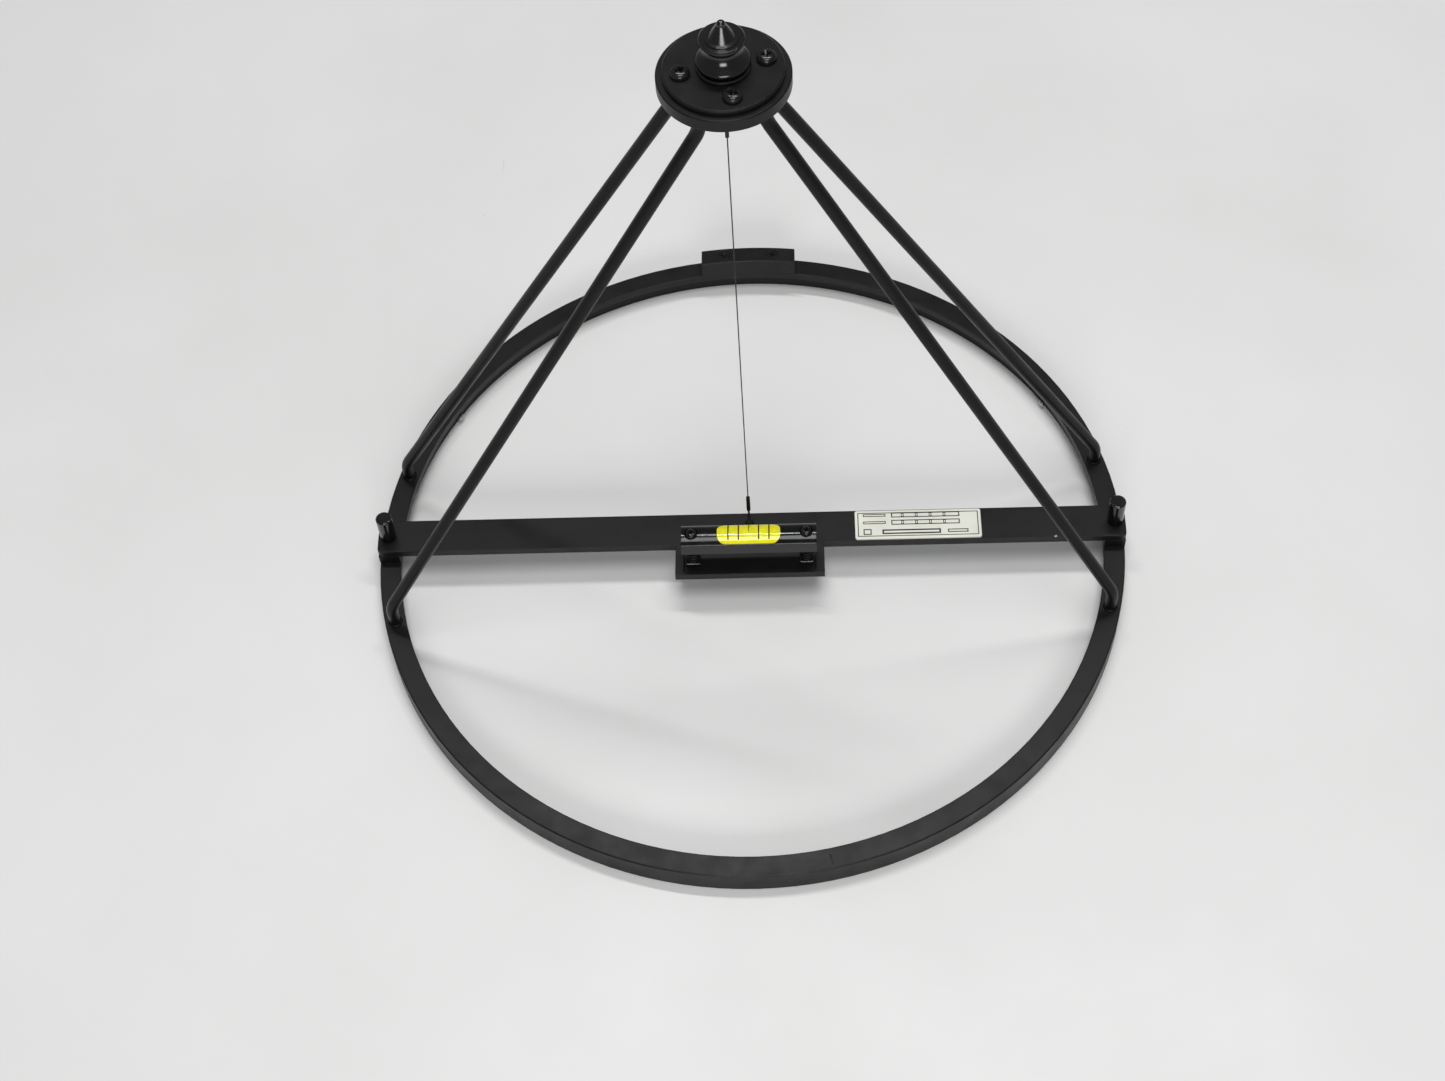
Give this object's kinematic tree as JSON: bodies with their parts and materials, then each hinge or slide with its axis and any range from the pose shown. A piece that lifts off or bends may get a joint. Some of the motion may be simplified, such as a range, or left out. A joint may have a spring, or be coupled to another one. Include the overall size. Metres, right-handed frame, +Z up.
{
  "type": "compass bearing sight",
  "caption": "Black ring with a bar across it and bent legs rising to a hub that tensions a thin vertical sighting wire; a small yellow bubble level stands on the bar.",
  "frame": {"origin": "centre of the ring, on the plane the ring's foot stands on", "axes": "+Z up along the sighting wire to the shadow pin, +X along the cross bar towards the nameplate, +Y away from the level, towards the index block"},
  "size_m": [0.28, 0.28, 0.2694],
  "materials": {
    "black_finish": "satin black over aluminium",
    "black_rods": "satin black over steel rod",
    "black_screws": "blackened steel screws",
    "knob_black": "black anodised, smoother than the ring",
    "gloss_black": "gloss black",
    "plain_steel": "plain turned steel",
    "wire_steel": "dark stranded wire",
    "spring_steel": "black spring wire",
    "nut_steel": "blackened steel nuts",
    "yellow_acrylic": "clear fluorescent yellow acrylic",
    "yellow_spirit": "yellow level spirit",
    "air_bubble": "air bubble",
    "mark_ink": "black fill in the engraved lines",
    "plug_plastic": "filling plug",
    "plate_aluminium": "printed aluminium plate"
  },
  "bodies": {
    "frame": {"sight_ring": "black_finish", "bar_pad_left": "black_finish", "bar_pad_right": "black_finish", "cross_bar": "black_finish", "handle_post_left": "black_finish", "handle_post_right": "black_finish", "index_block": "black_finish", "index_block_screws": "black_screws", "leg_front_left": "black_rods", "leg_front_right": "black_rods", "leg_back_left": "black_rods", "leg_back_right": "black_rods", "hub_base": "black_finish", "hub_cap": "black_finish", "hub_screws": "black_screws", "knob_washer": "black_finish", "wire_anchor": "knob_black", "anchor_nut": "plain_steel", "level_nut_left": "nut_steel", "level_nut_right": "nut_steel", "level_spring_left": "spring_steel", "level_spring_right": "spring_steel", "nameplate": "plate_aluminium", "guide_pin_left": "plain_steel", "guide_pin_right": "plain_steel", "guide_pin_front": "plain_steel"},
    "knob": {"tension_knob": "knob_black", "shadow_pin": "knob_black"},
    "wire_line": {"tension_stem": "plain_steel", "sighting_wire": "wire_steel", "upper_wire_ferrule": "wire_steel", "lower_wire_ferrule": "wire_steel"},
    "level": {"level_body": "gloss_black", "vial_block": "yellow_acrylic", "vial_marks": "mark_ink", "vial_plug": "plug_plastic", "vial_spirit": "yellow_spirit"},
    "bubble": {"vial_bubble": "air_bubble"},
    "right_level_screw": {"level_screw_right": "black_screws"},
    "left_level_screw": {"level_screw_left": "black_screws"}
  },
  "joints": [
    {"name": "tension_knob_turn", "type": "hinge", "parent": "frame", "child": "knob", "pos_m": [0, 0, 0.255], "axis": [0, 0, 1], "range_deg": [0, 257.2]},
    {"name": "wire_slack_slide", "type": "slide", "parent": "frame", "child": "wire_line", "axis": [0, 0, 1], "range_m": [-0.0005, 0]},
    {"name": "right_level_screw_turn", "type": "hinge", "parent": "level", "child": "right_level_screw", "pos_m": [0.0211, -0.01285, 0.025], "axis": [0, 0, 1], "range_deg": [-360, 360]},
    {"name": "level_tilt", "type": "hinge", "parent": "frame", "child": "level", "pos_m": [-0.0211, -0.01285, 0.0156], "axis": [0, 1, 0], "range_deg": [-0.61, 0.61], "deforming": ["level_spring_left", "level_spring_right"]},
    {"name": "left_level_screw_turn", "type": "hinge", "parent": "frame", "child": "left_level_screw", "pos_m": [-0.0211, -0.01285, 0.025], "axis": [0, 0, 1], "range_deg": [-45, 45]},
    {"name": "bubble_slide", "type": "slide", "parent": "level", "child": "bubble", "axis": [1, 0, 0], "range_m": [-0.005, 0.005]}
  ],
  "couplings": [
    {"joint": "tension_knob_turn", "follows": "wire_slack_slide", "rad_per_m": -8976},
    {"joint": "right_level_screw_turn", "follows": "level_tilt", "ratio": -589.22}
  ]
}
